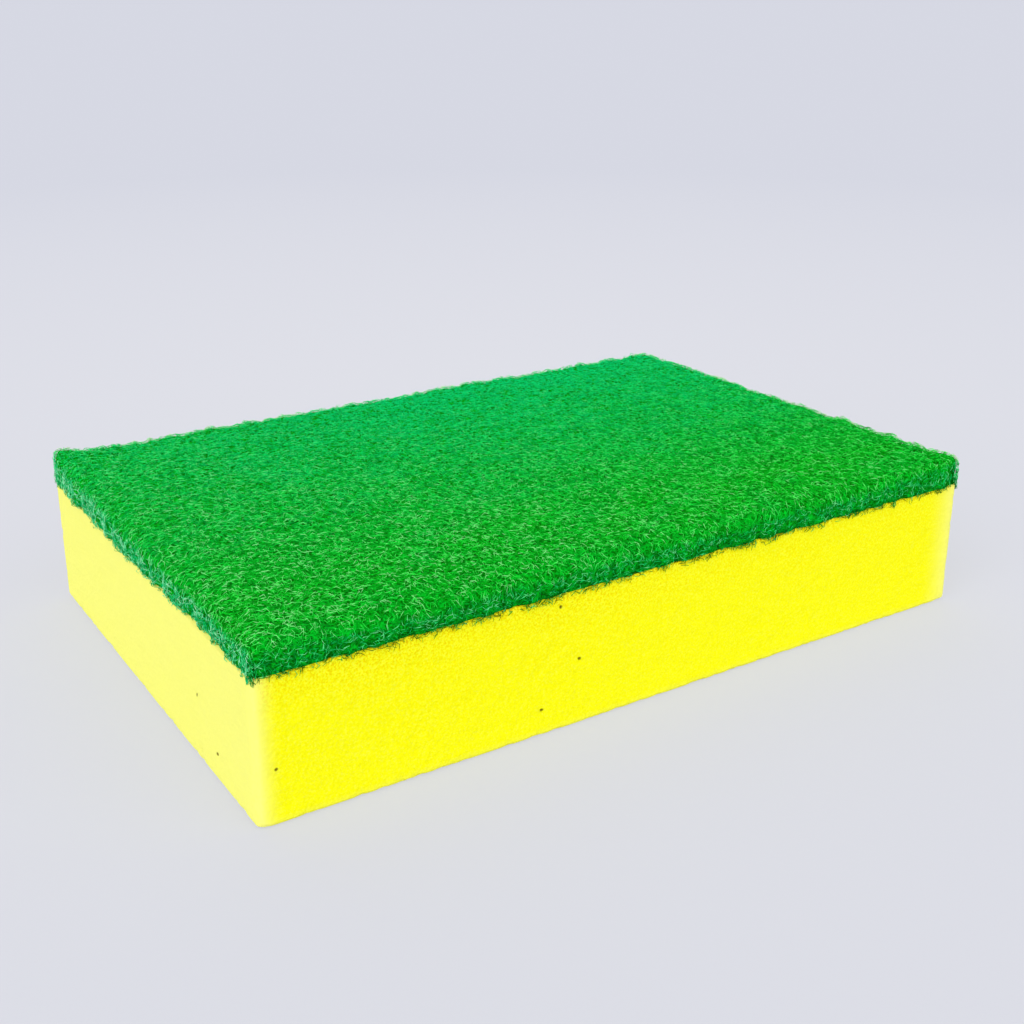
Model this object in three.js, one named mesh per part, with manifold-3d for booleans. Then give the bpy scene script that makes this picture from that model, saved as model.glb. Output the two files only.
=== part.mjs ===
// A kitchen sponge scourer: a block of open-cell foam with a sheet of stiff non-woven
// scouring web bonded to its top. Millimetres, +Z up. The origin is the middle of the
// foam's underside, and the long side runs along X.

import * as THREE from 'three';
import { mergeVertices } from 'three/addons/utils/BufferGeometryUtils.js';
import Module from 'manifold-3d';

const wasm = await Module();
wasm.setup();

// Foam block
const FOAM_LENGTH = 150;
const FOAM_WIDTH = 100;
const FOAM_HEIGHT = 25;
const FOAM_CORNER_RADIUS = 2.5; // upright edges, which the cutting blade leaves soft
const FOAM_BASE_ROUND = 1.6; // edge all round the underside
const FOAM_ROUND_STEPS = 3; // facets in each rounded edge

// Large foam cells that the blade opened. Each is a pit in a face of the block.
const CELL_DIAMETER_MIN = 0.8;
const CELL_DIAMETER_MAX = 1.7;
const CELL_STRETCH = 1.3; // cells are longer upwards, the way the foam rose
const CELL_SINK = 0.2; // how far the middle of a cell lies below the face
const CELL_SPACING = 5; // least distance between the middles of two cells
const CELL_EDGE_GAP = 0.8; // least foam between a cell and an edge of its face
const TRIES_PER_CELL = 30;
const CELLS_ON_LONG_SIDE = 24;
const CELLS_ON_SHORT_SIDE = 15;
const CELLS_ON_UNDERSIDE = 22;
const UNDERSIDE_WHOLE_RADIUS = 8; // the middle of the underside has no large cell

// Cells that show as dark specks near the front left corner: distance from that upright
// corner along the side, and height above the underside
const SPECK_DIAMETER = 1.1;
const LONG_SIDE_SPECKS = [[3.4, 9.6], [54, 22.7], [57.9, 12.3], [50.4, 4.9]];
const SHORT_SIDE_SPECKS = [[23.6, 12], [15.9, 5.2]];

// Scouring web
const WEB_THICKNESS = 6; // from the foam to the highest strand
const WEB_OVERHANG = 0.5; // how far its cut edge stands out past the foam
const WEB_CORNER_RADIUS = 2.2;
const WEB_UNDULATION = 0.3; // slow rise and fall of the top
const WEB_UNDULATION_LENGTH = 34; // distance from one rise to the next along the web
const WEB_UNDULATION_WIDTH = 24; // and across it

// Cut edge of the web: tufts stand out at its waist, and its top rolls down to them
const TUFT_PITCH = 2; // distance between neighbouring tufts
const TUFT_DEPTH = 0.8; // how far back the cut lies between tufts
const TUFT_HEIGHT = 1; // how much a tuft may lie above or below its neighbour
const TUFTS_IN_CORNER = 3;
const ROLL_WIDTH = 0.9; // strip inside the tufts in which the top rolls down
const ROLL_DROP = 1.3; // how far it has dropped at the cut edge
const WAIST_HEIGHT = 2.4; // the widest level of the cut edge, above the foam
const SHOULDER_INSET = 0.3; // how far the top of the cut edge lies inside the waist
const FOOT_INSET = 0.1; // how far its foot lies inside the waist

// Strands of coarse fibre on the web, which lie mostly along its length
const STRAND_PITCH = 2; // distance between neighbouring strands
const STRAND_STEP = 5.2; // length of a strand's straight pieces
const STRAND_STEP_CHANGE = 2.6; // how much these lengths vary
const STRAND_HEIGHT = 0.8; // from a groove to the highest strand
const STRAND_LOWEST = 0.45; // height of the lowest strand
const STRAND_ROUGHNESS = 0.15; // how unevenly a strand or a groove lies
const STRAND_SWAY = 1.1; // how far a strand wanders to either side
const STRAND_SWAY_LENGTH = 17; // length of one short wander
const STRAND_DRIFT_LENGTH = 46; // length of one slow wander
const STRAND_SWAY_WIDTH = 31; // strands this far apart wander alike
const STRAND_PIECES_MIN = 2; // straight pieces in the shortest strand
const STRAND_PIECES_MAX = 5;

const foamMaterial = new THREE.MeshStandardMaterial({
  color: new THREE.Color(0.98, 0.93, 0.07),
  roughness: 0.9,
  metalness: 0,
});
const webMaterial = new THREE.MeshStandardMaterial({
  color: new THREE.Color(0.02, 0.42, 0.1),
  roughness: 0.75,
  metalness: 0,
  flatShading: true,
});

// A repeatable source of numbers from 0 to 1 (mulberry32).
function seededRandom(seed) {
  let state = seed;
  return () => {
    state = (state + 0x6d2b79f5) | 0;
    let mixed = Math.imul(state ^ (state >>> 15), 1 | state);
    mixed = (mixed + Math.imul(mixed ^ (mixed >>> 7), 61 | mixed)) ^ mixed;
    return ((mixed ^ (mixed >>> 14)) >>> 0) / 4294967296;
  };
}

function solidFrom(geometry) {
  const bare = geometry.clone();
  bare.deleteAttribute('normal');
  bare.deleteAttribute('uv');
  const merged = mergeVertices(bare);
  return new wasm.Manifold(new wasm.Mesh({
    numProp: 3,
    vertProperties: merged.attributes.position.array,
    triVerts: new Uint32Array(merged.index.array),
  }));
}

function geometryFrom(solid) {
  const mesh = solid.getMesh();
  const geometry = new THREE.BufferGeometry();
  geometry.setAttribute('position', new THREE.BufferAttribute(mesh.vertProperties, 3));
  geometry.setIndex(new THREE.BufferAttribute(mesh.triVerts, 1));
  geometry.computeVertexNormals();
  return geometry;
}

function roundedRectangle(length, width, radius) {
  const x = length / 2;
  const y = width / 2;
  const shape = new THREE.Shape();
  shape.absarc(x - radius, y - radius, radius, 0, Math.PI / 2);
  shape.absarc(radius - x, y - radius, radius, Math.PI / 2, Math.PI);
  shape.absarc(radius - x, radius - y, radius, Math.PI, Math.PI * 1.5);
  shape.absarc(x - radius, radius - y, radius, Math.PI * 1.5, Math.PI * 2);
  shape.closePath();
  return shape;
}

// The block is extruded with a rounded edge at both ends, and its top is cut off square,
// because the web is bonded to a flat cut face.
function foamBlock() {
  const blank = new THREE.ExtrudeGeometry(
    roundedRectangle(FOAM_LENGTH, FOAM_WIDTH, FOAM_CORNER_RADIUS),
    {
      depth: FOAM_HEIGHT,
      curveSegments: FOAM_ROUND_STEPS,
      bevelThickness: FOAM_BASE_ROUND,
      bevelSize: FOAM_BASE_ROUND,
      bevelOffset: -FOAM_BASE_ROUND,
      bevelSegments: FOAM_ROUND_STEPS,
    },
  );
  blank.translate(0, 0, FOAM_BASE_ROUND);
  const offcut = new THREE.BoxGeometry(FOAM_LENGTH * 2, FOAM_WIDTH * 2, FOAM_HEIGHT);
  offcut.translate(0, 0, FOAM_HEIGHT * 1.5);
  return solidFrom(blank).subtract(solidFrom(offcut));
}

// Scatters cells over a rectangle of a face. Each keeps CELL_SPACING from those before it.
function scatterCells(count, across, up, taken, random) {
  const cells = [...taken];
  const tries = count * TRIES_PER_CELL;
  for (let i = 0; i < tries && cells.length < count; i += 1) {
    const place = new THREE.Vector2(
      THREE.MathUtils.lerp(across[0], across[1], random()),
      THREE.MathUtils.lerp(up[0], up[1], random()),
    );
    // Squared, so that most cells are small
    const diameter = THREE.MathUtils.lerp(CELL_DIAMETER_MIN, CELL_DIAMETER_MAX, random() ** 2);
    if (cells.every((cell) => cell.place.distanceTo(place) >= CELL_SPACING)) {
      cells.push({ place, diameter });
    }
  }
  return cells;
}

// Foam cells are close to dodecahedra, so a cut one leaves a many-sided pit.
function cellGeometry(diameter, random) {
  const cell = new THREE.DodecahedronGeometry(diameter / 2);
  cell.rotateX(random() * Math.PI);
  cell.rotateY(random() * Math.PI);
  cell.scale(1, 1, CELL_STRETCH);
  return cell;
}

// Cells of one upright side, which faces -Y until it is turned by angle. The distance from
// the middle of the block to the side is reach. Specks are placed from its left corner.
function sideCells({ count, specks, faceLength, reach, angle }, random) {
  const margin = CELL_DIAMETER_MAX / 2 + CELL_EDGE_GAP;
  const end = faceLength / 2 - FOAM_CORNER_RADIUS - margin;
  const tall = margin * CELL_STRETCH;
  const marked = specks.map(([fromCorner, height]) => ({
    place: new THREE.Vector2(fromCorner - faceLength / 2, height),
    diameter: SPECK_DIAMETER,
  }));
  const heights = [FOAM_BASE_ROUND + tall, FOAM_HEIGHT - tall];
  const cells = scatterCells(count, [-end, end], heights, marked, random);
  return cells.map(({ place, diameter }) => (
    cellGeometry(diameter, random)
      .translate(place.x, CELL_SINK - reach, place.y)
      .rotateZ(angle)
  ));
}

function undersideCells(random) {
  const margin = FOAM_BASE_ROUND + CELL_DIAMETER_MAX / 2 + CELL_EDGE_GAP;
  const x = FOAM_LENGTH / 2 - margin;
  const y = FOAM_WIDTH / 2 - margin;
  return scatterCells(CELLS_ON_UNDERSIDE, [-x, x], [-y, y], [], random)
    .filter(({ place }) => place.length() > UNDERSIDE_WHOLE_RADIUS)
    .map(({ place, diameter }) => (
      cellGeometry(diameter, random).translate(place.x, place.y, CELL_SINK)
    ));
}

function foamGeometry() {
  const random = seededRandom(41);
  const long = { count: CELLS_ON_LONG_SIDE, faceLength: FOAM_LENGTH, reach: FOAM_WIDTH / 2 };
  const short = { count: CELLS_ON_SHORT_SIDE, faceLength: FOAM_WIDTH, reach: FOAM_LENGTH / 2 };
  // Seen from its own left corner, the short left side has its specks on its right
  const shortSpecks = SHORT_SIDE_SPECKS.map(([fromCorner, height]) => (
    [FOAM_WIDTH - fromCorner, height]
  ));
  const sides = [
    { ...long, specks: LONG_SIDE_SPECKS, angle: 0 },
    { ...short, specks: [], angle: Math.PI / 2 },
    { ...long, specks: [], angle: Math.PI },
    { ...short, specks: shortSpecks, angle: -Math.PI / 2 },
  ];
  const cells = sides.flatMap((side) => sideCells(side, random));
  cells.push(...undersideCells(random));
  const pits = wasm.Manifold.union(cells.map(solidFrom));
  return geometryFrom(foamBlock().subtract(pits));
}

// Points and faces of a closed surface, gathered one by one.
class Surface {
  constructor() {
    this.points = [];
    this.faces = [];
  }

  point(x, y, z) {
    this.points.push(x, y, z);
    return this.points.length / 3 - 1;
  }

  triangle(a, b, c) {
    this.faces.push(a, b, c);
  }

  distance(a, b) {
    const [p, q] = [a, b].map((i) => new THREE.Vector3().fromArray(this.points, i * 3));
    return p.distanceTo(q);
  }

  // Joins two anticlockwise loops with as many points, the outer below the inner.
  band(inner, outer) {
    inner.forEach((a, i) => {
      const next = (i + 1) % inner.length;
      this.triangle(a, outer[i], outer[next]);
      this.triangle(a, outer[next], inner[next]);
    });
  }

  // Joins two loops with different numbers of points by the shorter cross line each time.
  zip(inner, outer) {
    let i = 0;
    let o = 0;
    while (i < inner.length || o < outer.length) {
      const a = inner[i % inner.length];
      const b = outer[o % outer.length];
      const nextInner = inner[(i + 1) % inner.length];
      const nextOuter = outer[(o + 1) % outer.length];
      const stepOuter = i === inner.length
        || (o < outer.length && this.distance(a, nextOuter) <= this.distance(nextInner, b));
      if (stepOuter) {
        this.triangle(a, b, nextOuter);
        o += 1;
      } else {
        this.triangle(a, b, nextInner);
        i += 1;
      }
    }
  }

  // Closes a loop from below, seen from above anticlockwise.
  fan(centre, loop) {
    loop.forEach((a, i) => this.triangle(centre, loop[(i + 1) % loop.length], a));
  }

  geometry() {
    const geometry = new THREE.BufferGeometry();
    geometry.setAttribute('position', new THREE.Float32BufferAttribute(this.points, 3));
    geometry.setIndex(this.faces);
    geometry.computeVertexNormals();
    return geometry;
  }
}

// The web's plan outline, anticlockwise from the left end of the near long side. Each
// point of it is a tuft, given by the middle of its corner arc or, on a side, by the point
// one corner radius inside it, and by its outward normal.
function webOutline() {
  const x = FOAM_LENGTH / 2 + WEB_OVERHANG - WEB_CORNER_RADIUS;
  const y = FOAM_WIDTH / 2 + WEB_OVERHANG - WEB_CORNER_RADIUS;
  const corners = [[-x, -y], [x, -y], [x, y], [-x, y]].map((at) => new THREE.Vector2(...at));
  const quarter = Math.PI / 2;
  const tuft = (inner, angle) => ({
    inner,
    normal: new THREE.Vector2(Math.cos(angle), Math.sin(angle)),
  });
  return corners.flatMap((corner, side) => {
    const next = corners[(side + 1) % corners.length];
    const facing = (side - 1) * quarter;
    const count = Math.round(corner.distanceTo(next) / TUFT_PITCH);
    const straight = Array.from({ length: count }, (_, i) => (
      tuft(corner.clone().lerp(next, i / count), facing)
    ));
    const arc = Array.from({ length: TUFTS_IN_CORNER }, (_, i) => (
      tuft(next, facing + (quarter * i) / TUFTS_IN_CORNER)
    ));
    return [...straight, ...arc];
  });
}

// Height of the grooves between strands, which rises and falls slowly over the web.
function grooveHeight(x, y) {
  const highest = FOAM_HEIGHT + WEB_THICKNESS - STRAND_HEIGHT;
  const along = Math.sin((2 * Math.PI * x) / WEB_UNDULATION_LENGTH);
  const across = Math.sin((2 * Math.PI * (y - x / 2)) / WEB_UNDULATION_WIDTH);
  const fall = (2 - along - across) / 4; // 0 on the highest rises and 1 in the lowest dips
  return highest - WEB_UNDULATION * fall;
}

// How far a strand at this place has wandered sideways: a short wander and a slow one.
// Neighbours wander nearly alike, so strands never cross.
function sway(x, y) {
  const turn = 2 * Math.PI;
  const short = Math.sin(turn * (x / STRAND_SWAY_LENGTH + y / STRAND_SWAY_WIDTH));
  const slow = Math.sin(turn * (x / STRAND_DRIFT_LENGTH - y / STRAND_SWAY_WIDTH));
  return (STRAND_SWAY * (short + slow)) / 2;
}

// Heights along one row of strands. Each strand comes up out of the web, lies high for a
// few pieces and dips under the next one.
function strandRow(length, random) {
  const row = [];
  while (row.length < length) {
    const pieces = THREE.MathUtils.lerp(STRAND_PIECES_MIN, STRAND_PIECES_MAX + 1, random());
    const crest = THREE.MathUtils.lerp(STRAND_LOWEST, STRAND_HEIGHT, random());
    row.push(STRAND_ROUGHNESS * random());
    for (let i = 1; i < Math.floor(pieces); i += 1) {
      row.push(crest - STRAND_ROUGHNESS * random());
    }
  }
  return row;
}

// The grid of points over the web's top: rows alternate between grooves and strands. Its
// border lies straight and low, where the rolled edge joins on. Returns that border.
function strandField(surface, halfLength, halfWidth, random) {
  const columns = Math.round((2 * halfLength) / STRAND_STEP);
  const rows = 2 * Math.round((2 * halfWidth) / STRAND_PITCH);
  const grid = Array.from({ length: rows + 1 }, (_r, r) => {
    const heights = r % 2 ? strandRow(columns + 1, random) : null;
    return Array.from({ length: columns + 1 }, (_c, c) => {
      const inside = r > 0 && r < rows && c > 0 && c < columns;
      const shift = inside ? STRAND_STEP_CHANGE * (random() - 0.5) : 0;
      const x = THREE.MathUtils.lerp(-halfLength, halfLength, c / columns) + shift;
      const y = THREE.MathUtils.lerp(-halfWidth, halfWidth, r / rows);
      const room = Math.min(1, (halfWidth - Math.abs(y)) / (2 * STRAND_SWAY));
      const wander = inside ? room * sway(x, y) : 0;
      const lift = heights ? heights[c] : STRAND_ROUGHNESS * random();
      return surface.point(x, y + wander, grooveHeight(x, y) + lift);
    });
  });
  for (let r = 0; r < rows; r += 1) {
    for (let c = 0; c < columns; c += 1) {
      surface.triangle(grid[r][c], grid[r][c + 1], grid[r + 1][c + 1]);
      surface.triangle(grid[r][c], grid[r + 1][c + 1], grid[r + 1][c]);
    }
  }
  const near = grid[0].slice(0, -1);
  const right = grid.slice(0, -1).map((row) => row[columns]);
  const far = grid[rows].slice(1).reverse();
  const left = grid.slice(1).map((row) => row[0]).reverse();
  return [...near, ...right, ...far, ...left];
}

// One level of the cut edge. Each tuft stands back from the outline by its own amount.
function edgeLoop(surface, outline, { inset, height, unevenness }, random) {
  return outline.map(({ inner, normal }) => {
    const reach = WEB_CORNER_RADIUS - inset - TUFT_DEPTH * random();
    const { x, y } = inner.clone().addScaledVector(normal, reach);
    return surface.point(x, y, height(x, y) + unevenness * (random() - 0.5));
  });
}

// The web is a closed surface: strands on top, three levels of tufts round the edge, and
// a flat underside that lies on the foam.
function webGeometry() {
  const random = seededRandom(97);
  const surface = new Surface();
  const outline = webOutline();
  const border = WEB_OVERHANG - SHOULDER_INSET - TUFT_DEPTH - ROLL_WIDTH;
  const halfLength = FOAM_LENGTH / 2 + border;
  const halfWidth = FOAM_WIDTH / 2 + border;
  const shoulder = {
    inset: SHOULDER_INSET,
    height: (x, y) => grooveHeight(x, y) - ROLL_DROP,
    unevenness: TUFT_HEIGHT / 2,
  };
  const waist = {
    inset: 0,
    height: () => FOAM_HEIGHT + WAIST_HEIGHT,
    unevenness: TUFT_HEIGHT,
  };
  const foot = { inset: FOOT_INSET, height: () => FOAM_HEIGHT, unevenness: 0 };
  const loops = [
    strandField(surface, halfLength, halfWidth, random),
    ...[shoulder, waist, foot].map((level) => edgeLoop(surface, outline, level, random)),
  ];
  surface.zip(loops[0], loops[1]);
  surface.band(loops[1], loops[2]);
  surface.band(loops[2], loops[3]);
  surface.fan(surface.point(0, 0, FOAM_HEIGHT), loops[3]);
  return surface.geometry();
}

function namedMesh(name, geometry, material) {
  const mesh = new THREE.Mesh(geometry, material);
  mesh.name = name;
  return mesh;
}

const scourer = new THREE.Group();
scourer.name = 'sponge_scourer';
scourer.add(namedMesh('foam_block', foamGeometry(), foamMaterial));
scourer.add(namedMesh('scouring_web', webGeometry(), webMaterial));

export default scourer;
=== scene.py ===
# %% [markdown]
# # A sponge scourer
#
# A sponge scourer is two soft things bonded together: a block of open-cell foam, and a
# sheet of stiff non-woven web made of coarse crimped fibres. The foam is all fine cells
# cut open by a blade. The web is a mat of separate fibres, so a smooth green slab never
# looks right, however good its material is.
#
# This lesson makes the foam as one dense mesh with real pits, and the web as a core with
# tens of thousands of short fibres laid over it. Everything is in metres, and every size
# below is written in millimetres and multiplied by MM.

import math

import bpy
import numpy as np
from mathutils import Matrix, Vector, kdtree, noise


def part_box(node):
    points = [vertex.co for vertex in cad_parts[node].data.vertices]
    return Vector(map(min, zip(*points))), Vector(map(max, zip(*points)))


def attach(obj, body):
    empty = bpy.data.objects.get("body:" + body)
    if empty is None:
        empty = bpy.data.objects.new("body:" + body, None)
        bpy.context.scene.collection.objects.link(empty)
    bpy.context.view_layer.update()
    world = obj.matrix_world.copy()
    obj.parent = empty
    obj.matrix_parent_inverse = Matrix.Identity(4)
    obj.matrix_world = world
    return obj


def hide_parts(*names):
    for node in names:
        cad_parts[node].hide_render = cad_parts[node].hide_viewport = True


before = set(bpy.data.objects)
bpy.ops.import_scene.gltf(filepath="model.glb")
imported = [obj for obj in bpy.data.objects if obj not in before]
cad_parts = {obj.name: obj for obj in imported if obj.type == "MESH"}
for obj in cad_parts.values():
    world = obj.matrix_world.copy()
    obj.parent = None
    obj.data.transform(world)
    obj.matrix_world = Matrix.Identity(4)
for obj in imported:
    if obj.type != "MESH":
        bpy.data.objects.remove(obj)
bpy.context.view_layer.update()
foam_low, foam_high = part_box("foam_block")
web_low, web_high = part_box("scouring_web")
MM = 0.001
print("foam, mm", [round(side / MM, 1) for side in foam_high - foam_low])
print("web, mm", [round(side / MM, 1) for side in web_high - web_low])

# %% [markdown]
# ## Camera
#
# The block's proportions only look right from the place where its photograph was taken.
# Its outline was matched to find that place: a little above the block, and turned towards
# its short left side. The lens follows from the same match, and so does the small upward
# shift of the picture, which keeps the upright edges as nearly parallel as they were.

# %% Camera
IMAGE_PIXELS = 1024
FOCAL_PIXELS = 1345.53
SHIFT_PIXELS = -60
SENSOR_WIDTH_MM = 36
CAMERA_AZIMUTH = math.radians(-32.94)
CAMERA_ELEVATION = math.radians(18.62)
CAMERA_PLACE = Vector((-135.97, -212.58, 116.39)) * MM

scene = bpy.context.scene
camera_data = bpy.data.cameras.new("camera")
camera_data.sensor_width = SENSOR_WIDTH_MM
camera_data.lens = FOCAL_PIXELS * SENSOR_WIDTH_MM / IMAGE_PIXELS
camera_data.shift_y = SHIFT_PIXELS / IMAGE_PIXELS
camera_data.clip_start = 10 * MM
camera = bpy.data.objects.new("camera", camera_data)
scene.collection.objects.link(camera)
camera_back = Vector((
    math.sin(CAMERA_AZIMUTH) * math.cos(CAMERA_ELEVATION),
    -math.cos(CAMERA_AZIMUTH) * math.cos(CAMERA_ELEVATION),
    math.sin(CAMERA_ELEVATION),
))
camera.location = CAMERA_PLACE
camera.rotation_euler = (-camera_back).to_track_quat("-Z", "Y").to_euler()
scene.camera = camera
print("lens, mm", round(camera_data.lens, 2))

# %% [markdown]
# ## Shader maths as Python
#
# A material's pattern is arithmetic on node outputs. Adding each Math node by hand hides
# that arithmetic, so a small class wraps an output and lets Python's own operators add
# the nodes. Every other node comes from one method, which sets the node's settings first
# and then its sockets.

# %% A wrapper for shader outputs
class Wire:
    """One output of a shader node. Arithmetic on it adds the nodes that work it out."""

    def __init__(self, tree, socket):
        self.tree = tree
        self.socket = socket

    def _sum(self, operation, first, second):
        wires = [side for side in (first, second) if isinstance(side, Wire)]
        if any(wire.socket.type == "VECTOR" for wire in wires):
            pair = [side if isinstance(side, Wire) else as_vector(side) for side in (first, second)]
            return self.tree.add("ShaderNodeVectorMath", {"operation": operation}, *pair)
        return self.tree.add("ShaderNodeMath", {"operation": operation}, first, second)

    def __add__(self, other):
        return self._sum("ADD", self, other)

    __radd__ = __add__

    def __sub__(self, other):
        return self._sum("SUBTRACT", self, other)

    def __rsub__(self, other):
        return self._sum("SUBTRACT", other, self)

    def __mul__(self, other):
        return self._sum("MULTIPLY", self, other)

    __rmul__ = __mul__

    def __truediv__(self, other):
        return self._sum("DIVIDE", self, other)

    def __rtruediv__(self, other):
        return self._sum("DIVIDE", other, self)

    def __gt__(self, other):
        return self._sum("GREATER_THAN", self, other)

    def __lt__(self, other):
        return self._sum("LESS_THAN", self, other)


def as_vector(value):
    """A number as three equal ones, and anything else as it is."""
    return (value, value, value) if isinstance(value, (int, float)) else value


print("reflected operators", [name for name in vars(Wire) if name.startswith("__r")])

# %% One class for every material
class Finish:
    """The node tree of a material or a world, with one method that adds any node."""

    def __init__(self, name, kind="materials"):
        self.owner = getattr(bpy.data, kind).new(name)
        self.owner.use_nodes = True
        self.nodes = self.owner.node_tree.nodes
        self.links = self.owner.node_tree.links
        self.nodes.clear()

    def add(self, kind, settings=None, *values, output=0, **named):
        """A node of any kind: its settings first, then its sockets by place or by name."""
        node = self.nodes.new(kind)
        stops = None
        for key, value in (settings or {}).items():
            if key == "stops":
                stops = value
            else:
                setattr(node, key, value)
        if stops:
            set_stops(node.color_ramp.elements, stops)
        sockets = {key.replace("_", " "): value for key, value in named.items()}
        for key, value in [*enumerate(values), *sockets.items()]:
            self.plug(node.inputs[key], value)
        outputs = [socket for socket in node.outputs if socket.enabled]
        if not outputs:
            return node
        if isinstance(output, str):
            return Wire(self, node.outputs[output])
        return Wire(self, outputs[output])

    def plug(self, socket, value):
        """Links a socket to a wire, or sets its constant."""
        if isinstance(value, Wire):
            self.links.new(value.socket, socket)
        elif value is not None:
            socket.default_value = value

    def mix(self, factor, first, second, blend="MIX"):
        """Two colours mixed by a factor."""
        node = self.nodes.new("ShaderNodeMix")
        node.data_type = "RGBA"
        node.blend_type = blend
        self.plug(node.inputs["Factor"], factor)
        colours = [socket for socket in node.inputs if socket.type == "RGBA"]
        self.plug(colours[0], first)
        self.plug(colours[1], second)
        result = [socket for socket in node.outputs if socket.type == "RGBA"]
        return Wire(self, result[0])

    def limit(self, value, low=0.0, high=1.0):
        """Where value lies between low and high, from 0 to 1."""
        return self.add("ShaderNodeMapRange", {"clamp": True}, value, low, high, 0.0, 1.0)

    def seen_directly(self):
        """1 on a ray that shows the background: from the camera, a reflection or glass."""
        rays = self.nodes.new("ShaderNodeLightPath").outputs
        names = ("Is Camera Ray", "Is Glossy Ray", "Is Transmission Ray")
        seen = [Wire(self, rays[name]) for name in names]
        first = self.add("ShaderNodeMath", {"operation": "MAXIMUM"}, seen[0], seen[1])
        return self.add("ShaderNodeMath", {"operation": "MAXIMUM"}, first, seen[2])

    def end(self, shader, output="ShaderNodeOutputMaterial"):
        """Puts the shader on the output node, and returns the material or world."""
        self.add(output, None, Surface=shader)
        return self.owner


def set_stops(elements, stops):
    """Sets a colour ramp's stops, each a place from 0 to 1 and a colour."""
    while len(elements) < len(stops):
        elements.new(1.0)
    for element, (place, colour) in zip(elements, stops):
        element.position = place
        element.color = colour


def srgb(red, green, blue):
    """A colour as a screen shows it, 0 to 255 each, in the linear numbers that shaders take."""
    def linear(level):
        level /= 255
        return level / 12.92 if level <= 0.04045 else ((level + 0.055) / 1.055) ** 2.4

    return (linear(red), linear(green), linear(blue), 1.0)


print("mid green", [round(level, 3) for level in srgb(0, 150, 30)])

# %% [markdown]
# ## Light, floor and background
#
# Soft studio light from all sides shows fibres without hard shadows. Three wide suns model
# the form. Unlike a near lamp, a sun lights the whole floor evenly, so the background
# stays plain. Together they light the top and the sides at a level of about 1, at which a
# colour renders as it is written. The background is a pale grey with a little violet in
# it, which only the camera and reflections see, so it doesn't tint the light.

# %% Lamps and world
SKY_STRENGTH = 0.6
BACKGROUND = srgb(214, 216, 227)
# Colour in the middle of the floor's painted pool of light.
FLOOR_LIGHT_POOL = srgb(223, 224, 232)


def sun(name, towards, level, spread_degrees):
    """A wide soft sun. At level 1 it lights a white surface that faces it to white."""
    data = bpy.data.lights.new(name, "SUN")
    data.energy = level * math.pi
    data.angle = math.radians(spread_degrees)
    lamp = bpy.data.objects.new(name, data)
    scene.collection.objects.link(lamp)
    lamp.rotation_euler = Vector(towards).to_track_quat("Z", "Y").to_euler()
    return lamp


sun("key_left", (-0.75, -0.35, 0.55), 0.45, 50)
sun("front_fill", (0.25, -0.85, 0.45), 0.25, 70)
sun("rim_back", (0.3, 0.8, 0.6), 0.12, 60)

studio = Finish("studio", "worlds")
sky = studio.add("ShaderNodeBackground", None, Color=(1.0, 1.0, 1.0, 1.0), Strength=SKY_STRENGTH)
backdrop = studio.add("ShaderNodeBackground", None, Color=BACKGROUND)
either = studio.add("ShaderNodeMixShader", None, studio.seen_directly(), sky, backdrop)
scene.world = studio.end(either, "ShaderNodeOutputWorld")
scene.view_settings.view_transform = "Standard"
print("sky strength", SKY_STRENGTH)

# %% Floor
FLOOR_SIZE_MM = 60000
FLOOR_LIGHT_POOL_CENTRE_MM = (60, 110, 0)
FLOOR_LIGHT_POOL_RADIUS_MM = 60
FLOOR_FADE_RADIUS_MM = 600
FLOOR_LIGHT = 1.02
FLOOR_OWN_SHARE = 0.7

floor_half = FLOOR_SIZE_MM / 2 * MM
floor_mesh = bpy.data.meshes.new("floor")
floor_corners = [(-floor_half, -floor_half, 0), (floor_half, -floor_half, 0)]
floor_corners += [(floor_half, floor_half, 0), (-floor_half, floor_half, 0)]
floor_mesh.from_pydata(floor_corners, [], [(0, 1, 2, 3)])
floor = bpy.data.objects.new("floor", floor_mesh)
scene.collection.objects.link(floor)

# The floor is paler round a point behind the block and fades to the background colour further out: a
# painted pool of light.
paper = Finish("backdrop_paper")
place = paper.add("ShaderNodeTexCoord", None, output="Object")
from_centre = place - tuple(side * MM for side in FLOOR_LIGHT_POOL_CENTRE_MM)
away = paper.add("ShaderNodeVectorMath", {"operation": "LENGTH"}, from_centre, output="Value")
fade = paper.limit(away, FLOOR_LIGHT_POOL_RADIUS_MM * MM, FLOOR_FADE_RADIUS_MM * MM)
paper_colour = paper.mix(fade, FLOOR_LIGHT_POOL, BACKGROUND)
paper_lit = paper.mix(1.0, paper_colour, (1 / FLOOR_LIGHT,) * 3 + (1.0,), blend="MULTIPLY")
matt = paper.add("ShaderNodeBsdfDiffuse", None, Color=paper_lit)
own_colour = paper.add("ShaderNodeEmission", None, Color=paper_colour)
own_share = paper.seen_directly() * FLOOR_OWN_SHARE
paper_shader = paper.add("ShaderNodeMixShader", None, own_share, matt, own_colour)
floor_mesh.materials.append(paper.end(paper_shader))
print("floor, m", FLOOR_SIZE_MM * MM)

# %% [markdown]
# ## One builder for both slabs
#
# The foam and the core of the web are the same form: a rounded rectangle with one rolled
# edge, upside down for the foam. A cube with a bevel would give long thin faces that can't
# carry pits. So the sides are built as rings of points in equal small steps, and the flat
# face as a grid that meets the last ring point for point.

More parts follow.
